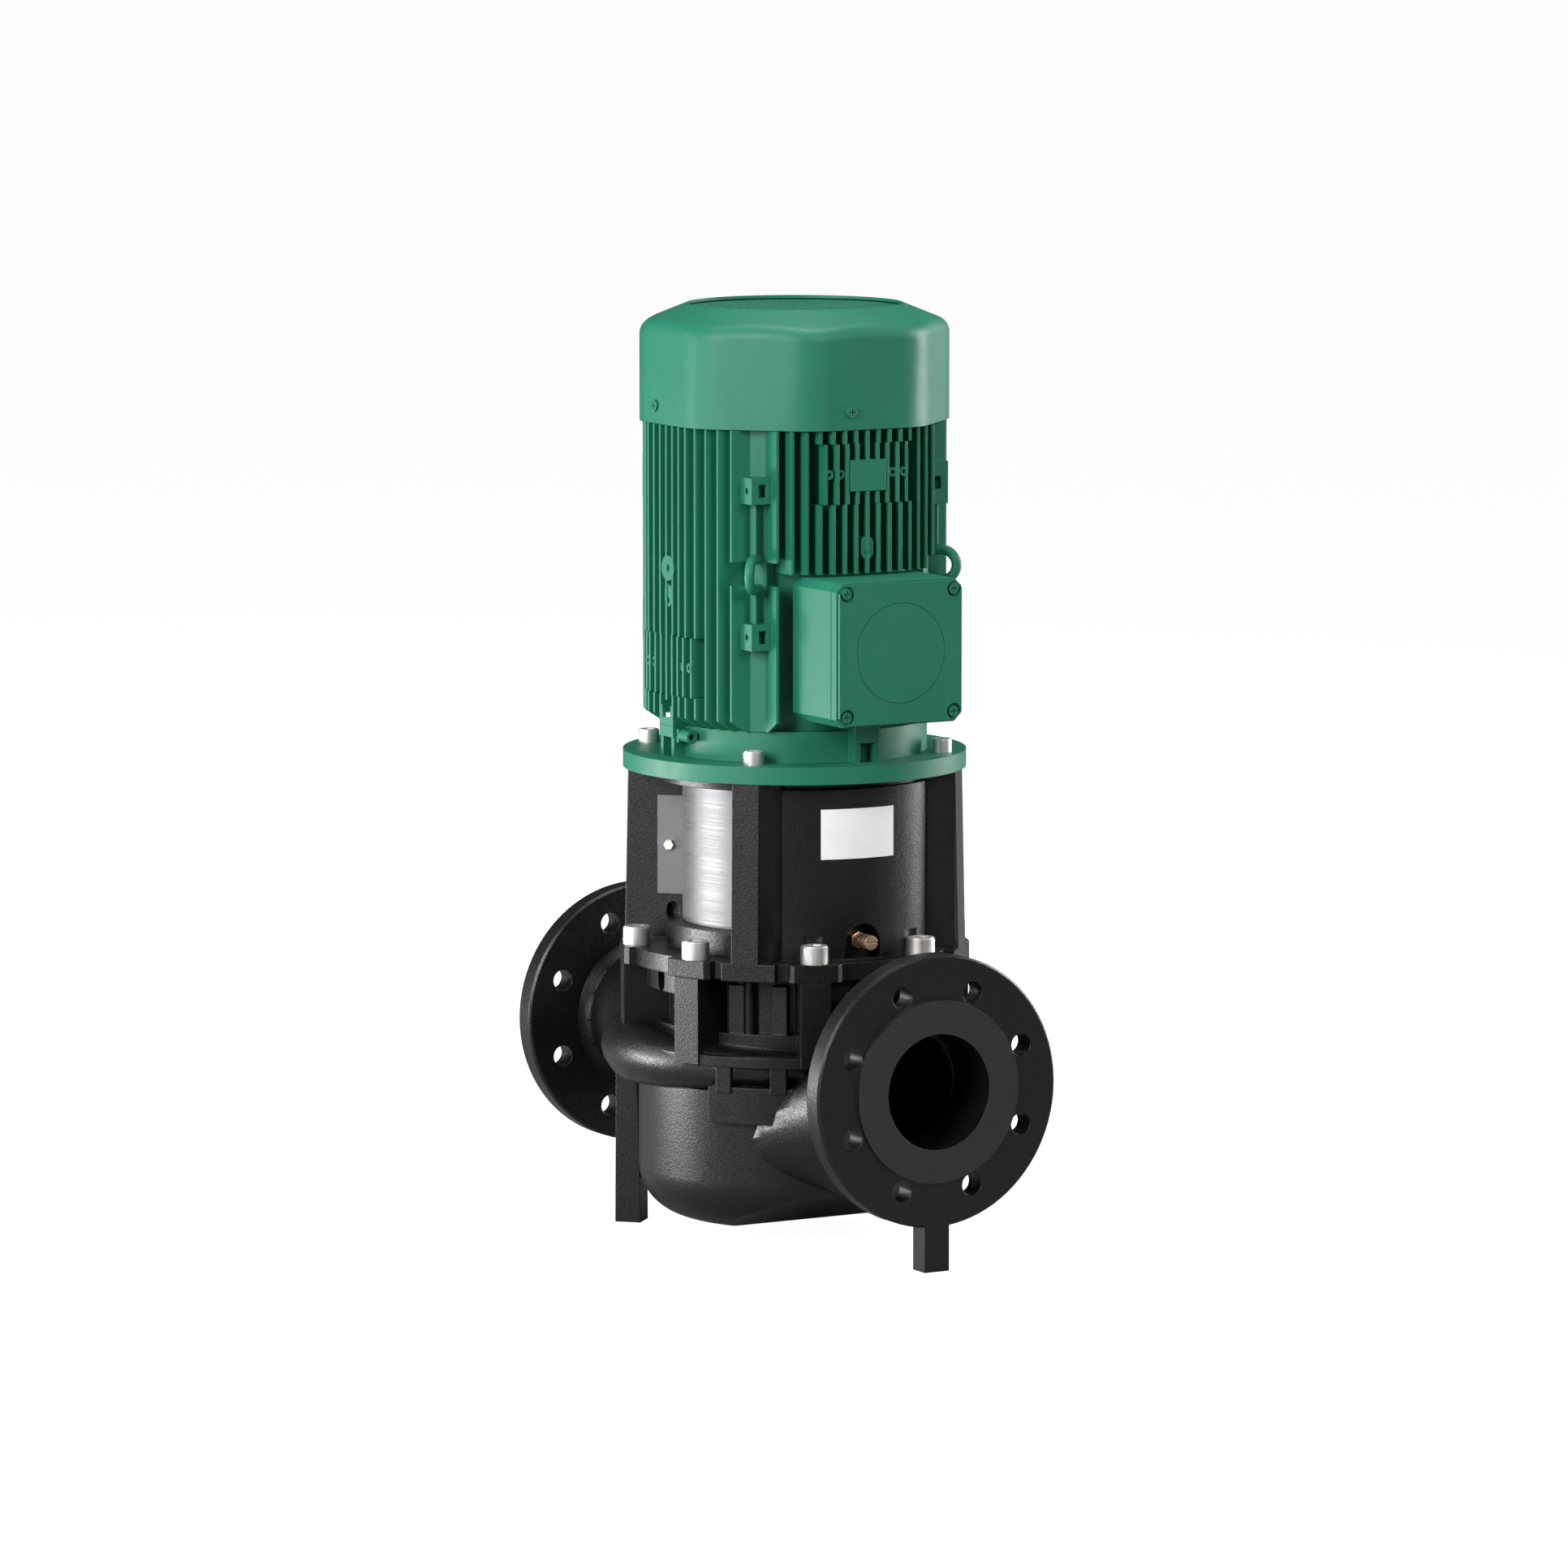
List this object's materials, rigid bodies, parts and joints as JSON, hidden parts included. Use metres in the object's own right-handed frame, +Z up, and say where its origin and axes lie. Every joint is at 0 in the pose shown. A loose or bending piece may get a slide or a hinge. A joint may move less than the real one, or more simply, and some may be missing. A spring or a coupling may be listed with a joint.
{
  "type": "in-line pump",
  "caption": "Vertical in-line pump: spiral casing between two opposed flanges, open lantern with coupling guards, and a finned flange motor with terminal box on top.",
  "frame": {"origin": "centre of the inlet flange's sealing face", "axes": "+X points out of the inlet along the pipe axis, +Z runs up along the shaft towards the fan cowl, the outlet faces -X"},
  "size_m": [0.55, 0.3116, 0.8153],
  "materials": {
    "cast_iron_black": "satin black finish over sand-cast texture",
    "motor_paint": "semi-gloss teal green enamel",
    "zinc_plated": "bright zinc plating",
    "stainless": "brushed",
    "ground_steel": "ground and polished",
    "lamination": "stacked sheet",
    "copper_alloy": "machined",
    "black_rubber": "matt",
    "blank_label": "matt white foil",
    "black_plastic": "moulded",
    "carbon": "lapped carbon",
    "silicon_carbide": "lapped ceramic",
    "impeller_iron": "as cast"
  },
  "bodies": {
    "housing": {"spiral_casing": "cast_iron_black", "wear_ring": "ground_steel", "cover_joint_ring": "black_rubber", "drain_plug": "zinc_plated", "seal_seat": "silicon_carbide", "lantern": "cast_iron_black", "lantern_screws": "zinc_plated", "coupling_guard_left": "stainless", "coupling_guard_right": "stainless", "guard_screws": "zinc_plated", "vent_valve_body": "copper_alloy", "label_plate": "blank_label", "drive_end_shield": "motor_paint", "motor_flange_screws": "zinc_plated", "shield_screws": "zinc_plated", "shaft_seal": "black_rubber", "stator_frame": "motor_paint", "stator_core": "lamination", "windings": "copper_alloy", "lower_bearing_outer": "ground_steel", "upper_bearing_outer": "ground_steel", "wave_spring": "stainless", "upper_end_shield": "motor_paint", "fan_cowl": "motor_paint", "air_grille": "motor_paint", "cowl_screws": "motor_paint", "terminal_box": "motor_paint", "terminal_box_lid": "motor_paint", "lid_gasket": "black_rubber", "lid_screws": "motor_paint", "terminal_block": "black_plastic", "terminal_studs": "copper_alloy", "entry_plug": "black_plastic", "earth_terminal": "motor_paint"},
    "rotor": {"impeller": "impeller_iron", "impeller_nut": "ground_steel", "pump_shaft": "ground_steel", "hub_clamp_screws": "zinc_plated", "seal_head": "carbon", "slinger_ring": "black_rubber", "motor_shaft": "ground_steel", "rotor_core": "lamination", "lower_bearing_inner": "ground_steel", "upper_bearing_inner": "ground_steel", "fan": "black_plastic", "fan_clip": "stainless"},
    "lower_ball_set": {"lower_bearing_balls": "ground_steel"},
    "upper_ball_set": {"upper_bearing_balls": "ground_steel"},
    "vent_spindle": {"vent_screw": "copper_alloy"}
  },
  "joints": [
    {"name": "shaft_spin", "type": "hinge", "parent": "housing", "child": "rotor", "pos_m": [-0.25, 0, 0], "axis": [0, 0, 1], "continuous": true},
    {"name": "lower_cage_spin", "type": "hinge", "parent": "housing", "child": "lower_ball_set", "pos_m": [-0.25, 0, 0.277], "axis": [0, 0, 1], "continuous": true},
    {"name": "upper_cage_spin", "type": "hinge", "parent": "housing", "child": "upper_ball_set", "pos_m": [-0.25, 0, 0.5575], "axis": [0, 0, 1], "continuous": true},
    {"name": "vent_turn", "type": "hinge", "parent": "housing", "child": "vent_spindle", "pos_m": [-0.12508, -0.00436, 0.1155], "axis": [0.9994, -0.0349, 0], "range_deg": [0, 360]}
  ],
  "couplings": [
    {"joint": "lower_cage_spin", "follows": "shaft_spin", "ratio": 0.4},
    {"joint": "upper_cage_spin", "follows": "shaft_spin", "ratio": 0.4}
  ]
}
